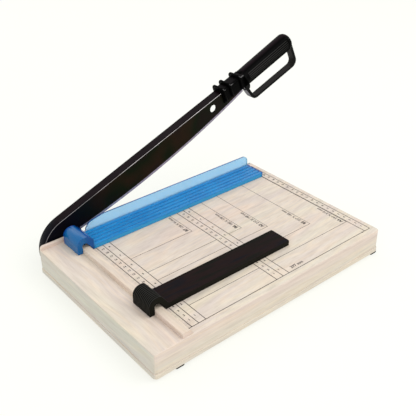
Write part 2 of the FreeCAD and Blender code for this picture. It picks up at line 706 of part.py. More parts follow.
def press_bar():
    y = BAR_Y
    outline = head_outline(BAR_TOP - RIDGE_RISE, BAR_SHOULDER, BAR_FLANK_X, 0.6, BAR_STUB)
    head = prism_y(on_board(outline), y)
    pitch = (y[1] - y[0]) / BAR_RIDGES
    foot = BOARD_Z + HEAD_LIFT
    low = BOARD_Z + BAR_TOP - RIDGE_RISE
    high = BOARD_Z + BAR_TOP
    x0 = RULER_X + BAR_SHOULDER[0]
    edges = [Part.makeLine(Vector(x0, y[0], low), Vector(x0, y[0], foot)),
             Part.makeLine(Vector(x0, y[0], foot), Vector(x0, y[1], foot)),
             Part.makeLine(Vector(x0, y[1], foot), Vector(x0, y[1], low))]
    for i in range(BAR_RIDGES):
        a = y[1] - i * pitch
        crest = Vector(x0, a - pitch / 2, high)
        edges.append(Part.Arc(Vector(x0, a, low), crest, Vector(x0, a - pitch, low)).toShape())
    plate = Part.Face(Part.Wire(edges)).extrude(Vector(RULER_X + BAR_END - x0, 0, 0))
    corner = edges_where(plate, lambda b: b.XMin > RULER_X + BAR_END - 0.01 and b.YMax < y[0] + 0.01)
    plate = plate.makeFillet(BAR_CORNER_R, corner)
    bar = head.fuse(plate).removeSplitter()
    wall = BAR_SKIN
    x = (RULER_X + HOLLOW_FROM, RULER_X + BAR_END - wall)
    hollow = box(x, (y[0] + wall, y[1] - wall), (BOARD_Z, low - wall))
    return bar.cut(hollow)


def guard_fin():
    corners = [(FIN_X[0], 0.8, 0.5), (FIN_X[0], 9.5, 5.0), (18.0, 17.5, 12.0), (40.0, FIN_TOP, 30.0),
               (FIN_X[1], FIN_TOP, 9.0), (FIN_X[1], 0.8, 0.5)]
    return prism_y(on_board(corners), (BAR_Y[1], BAR_Y[1] + FIN_T))


def paper_guide():
    y = GUIDE_Y
    outline = on_board(head_outline(GUIDE_TOP, GUIDE_SHOULDER, GUIDE_FLANK_X, GUIDE_FLANK_R, GUIDE_STUB))
    head = prism_y(outline, y)
    x = (RULER_X + GUIDE_PLATE_FROM, RULER_X + GUIDE_END)
    foot = BOARD_Z + HEAD_LIFT
    top = BOARD_Z + GUIDE_TOP
    plate = box(x, y, (foot, top))
    corner = edges_where(plate, lambda b: b.ZLength > 1 and b.XMin > x[1] - 0.01)
    plate = plate.makeFillet(GUIDE_CORNER_R, corner)
    rim = edges_where(plate, lambda b: b.ZMin > top - 0.01 and b.XMax > x[0] + 1)
    plate = plate.makeFillet(GUIDE_EDGE_R, rim)
    guide = head.fuse(plate).removeSplitter()
    wall = BAR_SKIN
    hollow_x = (RULER_X + GUIDE_HOLLOW_FROM, x[1] - wall)
    hollow = box(hollow_x, (y[0] + wall, y[1] - wall), (BOARD_Z, top - GUIDE_ROOF))
    guide = guide.cut(hollow)
    return guide.cut(groove_cutter(y))


def groove_cutter(y):
    """Grip grooves that wrap over the rounded back of the head, side by side along it."""
    deep = GROOVE_DEEP
    skin = [(LEG_OUT - 1, 3.0, 0), (LEG_OUT - 1, HEAD_TOP + 1, 11.5), (-5.6, HEAD_TOP + 1, 7.5),
            (-1.0, 18.0, 0), (-1.0 - deep - 0.9, 17.0, 0), (-6.2, HEAD_TOP - deep, 5.9),
            (LEG_OUT + deep, HEAD_TOP - deep, 9.9), (LEG_OUT + deep, 3.0, 0)]
    pitch = (y[1] - y[0]) / (GROOVES + 1)
    cutters = []
    for i in range(GROOVES):
        middle = y[0] + (i + 1) * pitch
        cutters.append(prism_y(on_board(skin), (middle - GROOVE_W / 2, middle + GROOVE_W / 2)))
    return Part.makeCompound(cutters)


def guide_glide_pad():
    """Block under the head's roof that bears on the top of the fence."""
    low = FENCE_H + PAD_LIFT
    corners = [(LEG_IN, low, 0), (LEG_IN, NOTCH_TOP - 3.5, 0), (-11.9, NOTCH_TOP, 0),
               (-10.6, NOTCH_TOP, 0), (-8.9, NOTCH_TOP - 1.0, 0), (-8.9, low, 0)]
    return prism_y(on_board(corners), (GUIDE_Y[0] + PAD_INSET, GUIDE_Y[1] - PAD_INSET))


# ---------------------------------------------------------------- write the nodes
def build():
    os.makedirs("parts", exist_ok=True)
    save("base_shell", base_shell())
    save("bottom_plate", plinth())
    save("case_screws", case_screws())
    for end, fx in (("left", FOOT_X[0]), ("right", FOOT_X[1])):
        for side, fy in (("front", FOOT_Y[0]), ("rear", FOOT_Y[1])):
            save("foot_" + side + "_" + end, rubber_foot(fx, fy))
    save("side_fence", side_fence())
    save("fence_screws", fence_screws())
    save("hinge_end_rim", hinge_rim())
    save("bed_knife", bed_knife())
    save("bed_knife_screws", knife_screws())
    save("bed_knife_nuts", knife_nuts())
    save("pivot_bracket", pivot_bracket())
    save("pivot_bolt", pivot_bolt())
    save("pivot_disc_spring", disc_spring())
    save("pivot_washer", pivot_washer())
    save("pivot_nut", pivot_nut())
    save("pivot_bush", pivot_bush())
    save("blade_arm", to_arm(steel_arm()))
    save("handle_grip", to_arm(handle_grip()))
    save("handle_screws", to_arm(handle_screws()))
    save("hand_guard", to_arm(hand_guard()))
    save("press_bar", press_bar())
    save("guard_fin", guard_fin())
    save("paper_guide", paper_guide())
    save("guide_glide_pad", guide_glide_pad())


build()
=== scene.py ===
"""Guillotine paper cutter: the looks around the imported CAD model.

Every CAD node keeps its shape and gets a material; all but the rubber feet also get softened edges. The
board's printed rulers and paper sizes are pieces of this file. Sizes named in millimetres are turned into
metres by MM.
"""

import json
import math

import bmesh
import bpy
from mathutils import Matrix, Vector


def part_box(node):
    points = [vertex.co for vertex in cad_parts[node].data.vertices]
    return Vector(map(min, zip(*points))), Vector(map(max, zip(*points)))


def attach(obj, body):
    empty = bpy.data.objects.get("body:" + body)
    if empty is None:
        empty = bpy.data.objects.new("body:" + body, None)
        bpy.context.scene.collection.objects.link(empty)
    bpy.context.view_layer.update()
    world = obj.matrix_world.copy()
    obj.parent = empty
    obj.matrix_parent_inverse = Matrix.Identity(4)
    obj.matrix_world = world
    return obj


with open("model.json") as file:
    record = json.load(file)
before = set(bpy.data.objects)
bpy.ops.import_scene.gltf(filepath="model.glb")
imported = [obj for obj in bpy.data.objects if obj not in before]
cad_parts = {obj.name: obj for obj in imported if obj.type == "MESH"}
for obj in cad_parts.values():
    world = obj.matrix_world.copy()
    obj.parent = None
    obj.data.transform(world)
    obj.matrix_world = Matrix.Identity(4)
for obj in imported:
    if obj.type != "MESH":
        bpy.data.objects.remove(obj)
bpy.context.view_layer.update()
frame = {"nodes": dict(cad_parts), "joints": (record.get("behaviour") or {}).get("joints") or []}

MM = 0.001
X, Y, Z = range(3)
SHELL_LOW, SHELL_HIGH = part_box("base_shell")
FENCE_LOW, FENCE_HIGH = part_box("side_fence")
PIVOT = next(Vector(joint["pos_m"]) for joint in frame["joints"] if joint["name"] == "arm_hinge")
BOARD_Z = SHELL_HIGH.z

# Zero of the printed rulers, measured from the fence's inner foot and the board's front edge.
PRINT_FROM_FENCE = 0.25 * MM
PRINT_FROM_FRONT = 10.5 * MM
PRINT_ZERO = Vector((FENCE_HIGH.x + PRINT_FROM_FENCE, SHELL_LOW.y + PRINT_FROM_FRONT, BOARD_Z))
PRINT_THICK = 0.06 * MM


# ------------------------------------------------------------------ colours
def rgb(*values):
    """Linear colour of an sRGB triple from 0 to 255."""
    def linear(v):
        v = v / 255
        return v / 12.92 if v <= 0.04045 else ((v + 0.055) / 1.055) ** 2.4
    return tuple(linear(v) for v in values)


def grey(level):
    return (level, level, level)


def scaled(colour, factor):
    """The colour made darker or lighter, up to white."""
    return tuple(min(1.0, c * factor) for c in colour)


def opaque(colour):
    """The colour with full alpha, or the node output that stands for one."""
    return colour if isinstance(colour, bpy.types.NodeSocket) else colour + (1.0,)


# ------------------------------------------------------------------ shader building
NOISE_RANGE = (0.3, 0.7)


class Shader:
    """A material with a Principled shader and short calls for its nodes."""

    def __init__(self, name, colour, roughness):
        self.material = bpy.data.materials.new(name)
        self.material.use_nodes = True
        self.tree = self.material.node_tree
        self.shader = self.tree.nodes["Principled BSDF"]
        self.set("Base Color", opaque(colour))
        self.set("Roughness", roughness)
        coordinates = self.tree.nodes.new("ShaderNodeTexCoord")
        self.place = coordinates.outputs["Object"]
        self.normal = coordinates.outputs["Normal"]

    def set(self, socket, value):
        self.shader.inputs[socket].default_value = value

    def join(self, source, socket):
        self.tree.links.new(source, self.shader.inputs[socket])

    def feed(self, socket, value):
        """Link value to the socket if it is an output, or else set it."""
        if isinstance(value, bpy.types.NodeSocket):
            self.tree.links.new(value, socket)
        else:
            socket.default_value = value

    def math(self, operation, a, b=0.0):
        node = self.tree.nodes.new("ShaderNodeMath")
        node.operation = operation
        for socket, value in zip(node.inputs, (a, b)):
            self.feed(socket, value)
        return node.outputs[0]

    def product(self, first, *others):
        for other in others:
            first = self.math("MULTIPLY", first, other)
        return first

    def highest(self, first, *others):
        for other in others:
            first = self.math("MAXIMUM", first, other)
        return first

    def without(self, mask):
        """The mask turned round: 1 where it is 0."""
        return self.math("SUBTRACT", 1.0, mask)

    def split(self, vector):
        node = self.tree.nodes.new("ShaderNodeSeparateXYZ")
        self.feed(node.inputs[0], vector)
        return node.outputs

    def combine(self, x, y, z):
        node = self.tree.nodes.new("ShaderNodeCombineXYZ")
        for socket, value in zip(node.inputs, (x, y, z)):
            self.feed(socket, value)
        return node.outputs[0]

    def at(self, axis):
        """The point's position on that axis."""
        return self.split(self.place)[axis]

    def slant(self, axis):
        """How far the surface looks along that axis, from -1 to 1."""
        return self.split(self.normal)[axis]

    def facing(self, axis, low=0.6, high=0.8):
        """1 where the surface looks along that axis, either way, and 0 where it looks aside."""
        return self.rise(self.math("ABSOLUTE", self.slant(axis)), low, high)

    def stretched(self, axis, share):
        """The point's position with that axis shortened to a share, which draws noise out along it."""
        parts = list(self.split(self.place))
        parts[axis] = self.math("MULTIPLY", parts[axis], share)
        return self.combine(*parts)

    def noise(self, vector, scale, detail=2.0, roughness=0.5):
        node = self.tree.nodes.new("ShaderNodeTexNoise")
        self.feed(node.inputs["Vector"], vector)
        node.inputs["Scale"].default_value = scale
        node.inputs["Detail"].default_value = detail
        node.inputs["Roughness"].default_value = roughness
        return node.outputs["Fac"]

    def ramp(self, value, stops):
        """Colour ramp; stops are (position, colour) pairs."""
        node = self.tree.nodes.new("ShaderNodeValToRGB")
        self.feed(node.inputs[0], value)
        elements = node.color_ramp.elements
        while len(elements) < len(stops):
            elements.new(0.5)
        for element, (position, colour) in zip(elements, stops):
            element.position = position
            element.color = opaque(colour)
        return node.outputs[0]

    def remap(self, value, low, high, to_low, to_high):
        node = self.tree.nodes.new("ShaderNodeMapRange")
        for socket, given in zip(node.inputs, (value, low, high, to_low, to_high)):
            self.feed(socket, given)
        return node.outputs[0]

    def rise(self, value, low, high, top=1.0):
        """0 below the low value, climbing to top at the high one."""
        return self.remap(value, low, high, 0.0, top)

    def fall(self, value, low, high, top=1.0):
        """Top below the low value, sinking to 0 at the high one."""
        return self.remap(value, low, high, top, 0.0)

    def mix(self, factor, a, b, blend="MIX"):
        node = self.tree.nodes.new("ShaderNodeMix")
        node.data_type = "RGBA"
        node.blend_type = blend
        sockets = [socket for socket in node.inputs if socket.type == "RGBA"]
        self.feed(node.inputs[0], factor)
        self.feed(sockets[0], opaque(a))
        self.feed(sockets[1], opaque(b))
        return next(socket for socket in node.outputs if socket.type == "RGBA")

    def mix_vector(self, factor, a, b):
        node = self.tree.nodes.new("ShaderNodeMix")
        node.data_type = "VECTOR"
        vectors = [socket for socket in node.inputs if socket.type == "VECTOR"]
        sockets = [socket for socket in vectors if socket.name in ("A", "B")]
        self.feed(node.inputs[0], factor)
        self.feed(sockets[0], a)
        self.feed(sockets[1], b)
        return next(socket for socket in node.outputs if socket.type == "VECTOR")

    def bump(self, height, distance, strength):
        node = self.tree.nodes.new("ShaderNodeBump")
        node.inputs["Strength"].default_value = strength
        node.inputs["Distance"].default_value = distance
        self.feed(node.inputs["Height"], height)
        self.join(node.outputs[0], "Normal")

    def finish(self, colour, specular=None):
        """Join the base colour, set how strongly the surface mirrors, and give the material."""
        self.join(colour, "Base Color")
        if specular is not None:
            self.set("Specular IOR Level", specular)
        return self.material

    def vary_roughness(self, noise, at_low, at_high):
        self.join(self.remap(noise, *NOISE_RANGE, at_low, at_high), "Roughness")


# ------------------------------------------------------------------ printed wood
WOOD_GREY = rgb(198, 186, 181)
WOOD_CREAM = rgb(213, 201, 188)
WOOD_ORANGE = rgb(225, 203, 177)
WOOD_PINK = rgb(222, 197, 186)
WOOD_GREEN = rgb(209, 206, 184)
WOOD_RINGS = ((0.28, WOOD_GREY), (0.44, WOOD_CREAM), (0.58, WOOD_ORANGE), (0.74, WOOD_GREY))
WOOD_PATCHES = ((0.38, WOOD_GREEN), (0.48, WOOD_CREAM), (0.56, WOOD_GREY), (0.66, WOOD_PINK))
WOOD_VEINS = ((0.36, (0.84, 0.82, 0.80)), (0.50, (1.0, 0.99, 0.98)), (0.64, (1.07, 1.09, 1.10)))
WOOD_FIBRES = ((0.30, (0.86, 0.85, 0.84)), (0.58, grey(1.0)))
BOARD_TINT = grey(1.0)
RAIL_TINT = (0.99, 0.955, 0.95)
# Painted shade on the walls that face left, away from the light.
LEFT_WALL_SHADE = (0.84, 0.91, 0.92)

# The printed grain: how much it is drawn out, how far it wanders, and how its layers add up.
GRAIN_TURN = math.radians(5)
GRAIN_STRETCH = 0.09
BOARD_STRETCH = 0.13
WALL_SQUEEZE = 1.5
WARP_SIZE = 0.022
BOARD_WARP_SHARE = 0.35
FRONT_OFFSET = 0.3
BOARD_OFFSET = 0.7
RING_WAVES = 42.0
RING_SHARE = 0.42
PATCH_SHARE = 0.5
CREAM_SHARE = 0.45
VEIN_SHARE = 0.42
FIBRE_SHARE = 0.6
WALL_FADE = (BOARD_Z - 22 * MM, BOARD_Z - 6 * MM)
LOOKS_LEFT = (-0.9, -0.6)


def wood_grain(s, front):
    """Coordinates stretched along the grain: along X on the board and the front, or else along Y."""
    x, y, z = s.split(s.place)
    warp = s.math("MULTIPLY", s.noise(s.place, scale=7.0, detail=1.0), WARP_SIZE)
    across = s.math("ADD", s.math("ADD", x, z), warp)
    along_y = s.combine(across, s.math("MULTIPLY", y, GRAIN_STRETCH), 0.0)
    height = s.math("MULTIPLY", z, WALL_SQUEEZE)
    along_x = s.combine(height, s.math("MULTIPLY", x, GRAIN_STRETCH), FRONT_OFFSET)
    cos, sin = math.cos(GRAIN_TURN), math.sin(GRAIN_TURN)
    run = s.math("ADD", s.math("MULTIPLY", x, cos), s.math("MULTIPLY", y, sin))
    side = s.math("SUBTRACT", s.math("MULTIPLY", y, cos), s.math("MULTIPLY", x, sin))
    side = s.math("ADD", side, s.math("MULTIPLY", warp, BOARD_WARP_SHARE))
    on_board = s.combine(side, s.math("MULTIPLY", run, BOARD_STRETCH), BOARD_OFFSET)
    board = s.product(s.math("GREATER_THAN", x, FENCE_HIGH.x), s.facing(Z))
    return s.mix_vector(front, s.mix_vector(board, along_y, on_board), along_x)


def wood_rings(s, grain):
    """Wavy streaks that close into arches, broken up by a broad noise."""
    hills = s.noise(grain, scale=26.0, detail=1.0, roughness=0.4)
    rings = s.rise(s.math("SINE", s.math("MULTIPLY", hills, RING_WAVES)), -1.0, 1.0)
    broad = s.noise(grain, scale=70.0)
    value = s.math("ADD", s.math("MULTIPLY", rings, RING_SHARE), s.math("MULTIPLY", broad, 1 - RING_SHARE))
    return s.ramp(value, WOOD_RINGS)


def wood_print(name, tint):
    """Pale printed wood grain: arched streaks, tinted patches, fine fibres, satin lacquer, and painted
    shade on the left walls.
    """
    s = Shader(name, WOOD_CREAM, roughness=0.5)
    front = s.facing(Y)
    grain = wood_grain(s, front)
    wall = s.mix(s.rise(s.at(Z), *WALL_FADE), WOOD_GREEN, WOOD_PINK)
    patches = s.ramp(s.noise(grain, scale=34.0), WOOD_PATCHES)
    base = s.mix(PATCH_SHARE, wood_rings(s, grain), s.mix(front, patches, wall))
    base = s.mix(CREAM_SHARE, base, WOOD_CREAM)
    # Painted shade: walls below the board that face left are darker.
    left = s.product(s.fall(s.slant(X), *LOOKS_LEFT), s.math("LESS_THAN", s.at(Z), BOARD_Z))
    base = s.mix(left, base, LEFT_WALL_SHADE, "MULTIPLY")
    base = s.mix(VEIN_SHARE, base, s.ramp(s.noise(grain, scale=190.0), WOOD_VEINS), "MULTIPLY")
    fibre = s.noise(grain, scale=520.0, detail=3.0, roughness=0.6)
    base = s.mix(FIBRE_SHARE, base, s.ramp(fibre, WOOD_FIBRES), "MULTIPLY")
    base = s.mix(1.0, base, tint, "MULTIPLY")
    s.vary_roughness(fibre, 0.55, 0.45)
    s.bump(fibre, distance=0.03 * MM, strength=0.5)
    return s.finish(base, specular=0.25)


# ------------------------------------------------------------------ blade and handle
# The blade in its own frame: along and square to the fold, from the pivot.
ARM_REST = math.radians(21.1)
FOLD_H = 45.0 * MM
EDGE_LOW_S = 142.0 * MM
EDGE_LOW_H = 8.3 * MM
EDGE_R = 1330.0 * MM
EDGE_START_S = 19.0 * MM
EDGE_BAND = (3.2 * MM, 3.4 * MM)

# The painted highlight along the fold's bend: its place, the slant of the surface there, and where it
# fades.
# A tuple of four is a remap: a value's low and high end, and what they turn into.
FOLD_BAND = (FOLD_H - 2.2 * MM, FOLD_H - 1.4 * MM)
FOLD_SLANT = 0.78
FOLD_SLANT_BAND = (0.04, 0.11)
FOLD_FADE = (-20 * MM, 120 * MM, 0.3, 1.0)
FOLD_HIGHLIGHT_BREAKS = (0.35, 0.6, 0.4, 1.0)
FOLD_HIGHLIGHT_STRETCH = 0.2

# The grip's axis in that frame, its radius at the start and the radius gained per length.
SLEEVE_END_S = 342.0 * MM
GRIP_START_S = 344.6 * MM
GRIP_START_H = 36.4 * MM
GRIP_TILT = math.radians(2.2)
GRIP_R = 13.2 * MM
GRIP_TAPER = 0.008
GRIP_Y = SHELL_HIGH.y + 10.0 * MM
FLUTE_DEPTH_BAND = (0.75 * MM, 0.95 * MM)
FLUTE_START = (4.0 * MM, 8.0 * MM)
FLUTE_END = (88.0 * MM, 94.0 * MM)

# The guard's strap: where it leaves the collar, and the pitch of its ribs.
STRAP_ROOT = (346 * MM, 352 * MM)
STRAP_PITCH = 1.8 * MM

# How the painted sheen of the light from above breaks up in clouds.
SHEEN_CLOUDS = (0.3, 0.7, 0.7, 1.0)

ENAMEL = rgb(20, 15, 15)
ENAMEL_CLOUDS = ((0.30, rgb(4, 12, 20)), (0.45, rgb(34, 23, 14)),
                 (0.56, rgb(16, 22, 10)), (0.70, rgb(27, 11, 16)))
ENAMEL_NAVY = rgb(2, 7, 18)
NAVY_FADE = (20 * MM, 95 * MM)
NAVY_SHARE = 0.8
# The flange's near-black, and the painted sheen where it faces up towards the light.
FLANGE_DARK, FLANGE_SHEEN = rgb(5, 1, 3), rgb(15, 4, 9)
FLANGE_LOOKS_UP = (0.80, 0.93)
# Colour of the painted highlight on the fold's bend.
FOLD_HIGHLIGHT = rgb(232, 226, 228)
EDGE_SCRATCHES = ((0.35, rgb(128, 120, 136)), (0.65, rgb(166, 158, 176)))
EDGE_METAL = 0.35

HANDLE_PLASTIC = rgb(9, 8, 8)
# The handle's near-black, the painted sheen on its up-facing crown, and the share of that sheen on the
# sleeve.
HANDLE_DARK, HANDLE_SHEEN = rgb(3, 3, 3), rgb(33, 23, 28)
HANDLE_LOOKS_UP = (0.84, 0.95)
SLEEVE_SHEEN_SHARE = 0.22
# Painted highlight in the grip's flutes.
FLUTE_HIGHLIGHT = rgb(52, 52, 50)
FLUTE_SHARE = 0.9
# The painted highlight on the sleeve's shoulders: the slant it faces, its band, share, colour, where it
# stops and how it breaks up.
SHOULDER_LOOK = (-0.72, 0.69)
SHOULDER_BAND = (0.965, 0.99)
SHOULDER_SHARE = 0.8
SHOULDER_GLEAM = rgb(128, 126, 126)
GLEAM_LEAVES_GRIP = (0.0, 0.2)
GLEAM_BREAKS = (0.4, 0.6, 0.3, 1.0)

STRAP_PLASTIC = rgb(10, 9, 9)
# The strap's near-black, the painted sheen on its wide face and the painted highlight at its root.
STRAP_DARK, STRAP_SHEEN = rgb(4, 3, 3), rgb(34, 30, 29)
STRAP_GLEAM = rgb(140, 136, 146)
STRAP_SIDE = (0.3, 0.6)
RIB_SHEEN = (-1.0, 1.0, 0.8, 1.0)
RIB_ROUGHNESS = (-1.0, 1.0, 0.42, 0.34)


def arm_place(s):
    """Position along the fold and square to it."""
    cos, sin = math.cos(ARM_REST), math.sin(ARM_REST)
    dx = s.math("SUBTRACT", s.at(X), PIVOT.x)
    dz = s.math("SUBTRACT", s.at(Z), PIVOT.z)
    along = s.math("ADD", s.math("MULTIPLY", dx, cos), s.math("MULTIPLY", dz, sin))
    square = s.math("SUBTRACT", s.math("MULTIPLY", dz, cos), s.math("MULTIPLY", dx, sin))
    return along, square


def length_2d(s, a, b):
    return s.math("SQRT", s.math("ADD", s.math("MULTIPLY", a, a), s.math("MULTIPLY", b, b)))


def ground_edge_mask(s, along, square):
    """1 within a narrow band along the curved cutting edge, found from the arc's centre."""
    from_low = s.math("SUBTRACT", along, EDGE_LOW_S)
    away = length_2d(s, from_low, s.math("SUBTRACT", square, EDGE_LOW_H + EDGE_R))
    band = s.fall(s.math("SUBTRACT", EDGE_R, away), *EDGE_BAND)
    return s.product(band, s.math("GREATER_THAN", along, EDGE_START_S))


def fold_mask(s, along, square):
    """1 on the middle of the rounded fold, also where it runs round the hinge end, weaker in patches: the
    mask of a painted highlight.
    """
    out = length_2d(s, s.math("MINIMUM", along, 0.0), square)
    slant = s.math("ABSOLUTE", s.math("ADD", s.slant(Y), FOLD_SLANT))
    patchy = s.noise(s.stretched(Y, FOLD_HIGHLIGHT_STRETCH), scale=30.0)
    return s.product(s.rise(out, *FOLD_BAND), s.fall(slant, *FOLD_SLANT_BAND),
                     s.remap(patchy, *FOLD_HIGHLIGHT_BREAKS), s.remap(along, *FOLD_FADE))


def dusty(s, dark, pale, up):
    """Near-black colour with a painted sheen where the mask up is 1, in clouds: a painted highlight of the
    light from above.
    """
    cloud = s.noise(s.place, scale=60.0, detail=3.0)
    return s.mix(s.product(up, s.remap(cloud, *SHEEN_CLOUDS)), dark, pale)


def moulded_skin(s, scale):
    """The fine grain of moulded plastic."""
    s.bump(s.noise(s.place, scale, roughness=0.6), distance=0.02 * MM, strength=0.35)


def black_paint(name):
    """Gloss black enamel with a painted highlight along the fold and a painted sheen on the up-facing
    flange, and the bare ground cutting edge.
    """
    s = Shader(name, ENAMEL, roughness=0.3)
    along, square = arm_place(s)
    cloud = s.noise(s.place, scale=13.0)
    web = s.mix(s.fall(along, *NAVY_FADE, NAVY_SHARE), s.ramp(cloud, ENAMEL_CLOUDS), ENAMEL_NAVY)
    up = s.rise(s.slant(Z), *FLANGE_LOOKS_UP)
    # Painted sheen on the up-facing flange, standing for the reflection of the light above.
    paint = s.mix(up, web, dusty(s, FLANGE_DARK, FLANGE_SHEEN, up))
    # Painted highlight along the fold's bend, weaker in patches.
    coat = s.mix(fold_mask(s, along, square), paint, FOLD_HIGHLIGHT)
    edge = ground_edge_mask(s, along, square)
    scratch = s.noise(s.place, scale=260.0, detail=4.0, roughness=0.7)
    s.join(s.math("MULTIPLY", edge, EDGE_METAL), "Metallic")
    s.vary_roughness(cloud, 0.28, 0.38)
    s.bump(s.noise(s.place, scale=900.0), distance=0.02 * MM, strength=0.3)
    return s.finish(s.mix(edge, coat, s.ramp(scratch, EDGE_SCRATCHES)), specular=0.03)


def flute_mask(s, along, square):
    """1 in the grip's flutes, where the surface lies below the tapered skin of the grip."""
    run = s.math("SUBTRACT", along, GRIP_START_S)
    axis_h = s.math("ADD", s.math("MULTIPLY", run, math.tan(GRIP_TILT)), GRIP_START_H)
    away = length_2d(s, s.math("SUBTRACT", s.at(Y), GRIP_Y), s.math("SUBTRACT", square, axis_h))
    skin = s.math("ADD", s.math("MULTIPLY", run, GRIP_TAPER), GRIP_R)
    depth = s.math("SUBTRACT", skin, away)
    return s.product(s.rise(depth, *FLUTE_DEPTH_BAND), s.rise(run, *FLUTE_START), s.fall(run, *FLUTE_END))


def handle_black(name):
    """Moulded black handle with a painted sheen on the crown and painted highlights in the flutes and on
    the sleeve's shoulders.
    """
    s = Shader(name, HANDLE_PLASTIC, roughness=0.34)
    along, square = arm_place(s)
    on_grip = s.rise(along, SLEEVE_END_S, GRIP_START_S)
    # Painted sheen of the light above on the up-facing crown, weaker on the sleeve.
    crown = s.rise(s.slant(Z), *HANDLE_LOOKS_UP)
    crown = s.product(crown, s.remap(on_grip, 0.0, 1.0, SLEEVE_SHEEN_SHARE, 1.0))
    paint = dusty(s, HANDLE_DARK, HANDLE_SHEEN, crown)
    # Painted highlight in the flutes.
    paint = s.mix(s.product(flute_mask(s, along, square), FLUTE_SHARE), paint, FLUTE_HIGHLIGHT)
    look_y, look_z = SHOULDER_LOOK
    shoulder = s.math("ADD", s.math("MULTIPLY", s.slant(Y), look_y), s.math("MULTIPLY", s.slant(Z), look_z))
    patchy = s.noise(s.place, scale=90.0)
    # Painted highlight on the sleeve's shoulders, broken up in patches.
    gleam = s.product(s.rise(shoulder, *SHOULDER_BAND, SHOULDER_SHARE), s.fall(on_grip, *GLEAM_LEAVES_GRIP),
                      s.remap(patchy, *GLEAM_BREAKS))
    s.vary_roughness(patchy, 0.3, 0.42)
    moulded_skin(s, scale=1400.0)
    return s.finish(s.mix(gleam, paint, SHOULDER_GLEAM), specular=0.025)


def strap_black(name):
    """The guard's strap: finely ribbed across its wide face, with a painted sheen there and a painted
    highlight at its root.
    """
    s = Shader(name, STRAP_PLASTIC, roughness=0.36)
    along = arm_place(s)[0]
    wide = s.without(s.facing(Y, *STRAP_SIDE))
    ribs = s.math("SINE", s.math("MULTIPLY", along, 2 * math.pi / STRAP_PITCH))
    # Painted sheen on the wide face, following the ribs.
    face = dusty(s, STRAP_DARK, STRAP_SHEEN, s.product(wide, s.remap(ribs, *RIB_SHEEN)))
    # Painted highlight on the left side of the strap's root.
    gleam = s.product(s.fall(along, *STRAP_ROOT), wide, s.fall(s.slant(X), *LOOKS_LEFT))
    s.join(s.remap(ribs, *RIB_ROUGHNESS), "Roughness")
    s.bump(ribs, distance=0.08 * MM, strength=0.4)
    return s.finish(s.mix(gleam, face, STRAP_GLEAM), specular=0.06)


# ------------------------------------------------------------------ press bar and paper guide
HEAD_FADE = (FENCE_HIGH.x + 1 * MM, FENCE_HIGH.x + 4 * MM)

GUIDE_PLASTIC = rgb(22, 20, 17)
GUIDE_GROOVES = 12
GUIDE_LAND = (0.22, 0.42)
GUIDE_STREAK_STRETCH = 0.12
GUIDE_FRONT_LOOK = (0.5, 0.8)
GUIDE_STREAKS = ((0.34, rgb(13, 12, 18)), (0.48, rgb(28, 15, 15)), (0.64, rgb(15, 14, 10)))
GUIDE_FRONT = rgb(20, 20, 15)
# Painted shade in the head's grooves and painted highlight on the lands between them.
GUIDE_GROOVE_SHADE, GUIDE_LAND_HIGHLIGHT = rgb(4, 4, 3), rgb(46, 45, 42)

BAR_PLASTIC = rgb(24, 108, 170)
BAR_RIDGES = 5
BAR_VALLEY = (0.36, 0.5)
BAR_VALLEY_SHARE = 0.75
BAR_TOP, BAR_TOP_PALE = rgb(20, 128, 196), rgb(30, 146, 212)
BAR_VALLEY_BLUE = rgb(6, 74, 156)
BAR_SWIRL_SHARE = 0.5
BAR_WALL = rgb(44, 150, 206)
BAR_WALL_LOOK = (0.6, 0.9)
BAR_END_INSETS = (4.5 * MM, 1.5 * MM)
BAR_END_BLUE = rgb(4, 48, 130)
BAR_END_SHARE = 0.9
HEAD_TEAL, HEAD_NAVY = rgb(8, 94, 152), rgb(4, 50, 134)
HEAD_RIM = 5 * MM
HEAD_LIP = 1.2 * MM
HEAD_CROWN = (-0.1, 0.5)
HEAD_RIGHT = (FENCE_LOW.x + 2 * MM, FENCE_LOW.x + 8 * MM)
RIM_SHARE, LIP_SHARE, CROWN_SHARE, RIGHT_SHARE = 0.9, 0.7, 0.75, 0.5
BAR_ALPHA, HEAD_ALPHA, END_ALPHA = 0.86, 0.94, 0.95
SWIRL_RANGE = (0.35, 0.65)

FIN_BODY, FIN_EDGE = rgb(132, 212, 246), rgb(12, 70, 140)
FIN_FLAT_LOOK = (0.75, 0.95)
FIN_ALPHA, FIN_EDGE_ALPHA = 0.52, 0.95
FIN_SWIRL_SHARE, FIN_SWIRL_SHADE = 0.18, 0.8


def waves_across(s, node, count, start):
    """0 to 0.5 and back, count times from the node's front to its back, from that part of a wave."""
    low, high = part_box(node)
    turns = s.math("MULTIPLY", s.math("SUBTRACT", s.at(Y), low.y), count / (high.y - low.y))
    phase = s.math("FRACT", s.math("ADD", turns, start))
    return s.math("ABSOLUTE", s.math("SUBTRACT", phase, 0.5))


def guide_black(name):
    """Satin black guide with painted highlights on the lands and painted shade in the grooves of the head.
    """
    s = Shader(name, GUIDE_PLASTIC, roughness=0.42)
    # Painted highlight on the head's lands, painted shade in its grooves.
    land = s.rise(waves_across(s, "paper_guide", GUIDE_GROOVES + 1, start=0.5), *GUIDE_LAND)
    front = s.facing(Y, *GUIDE_FRONT_LOOK)
    head = s.product(s.fall(s.at(X), *HEAD_FADE), s.without(front))
    streaks = s.noise(s.stretched(X, GUIDE_STREAK_STRETCH), scale=110.0)
    plain = s.mix(front, s.ramp(streaks, GUIDE_STREAKS), GUIDE_FRONT)
    s.vary_roughness(s.noise(s.place, scale=35.0, detail=3.0), 0.36, 0.48)
    moulded_skin(s, scale=1100.0)
    return s.finish(s.mix(head, plain, s.mix(land, GUIDE_GROOVE_SHADE, GUIDE_LAND_HIGHLIGHT)), specular=0.05)


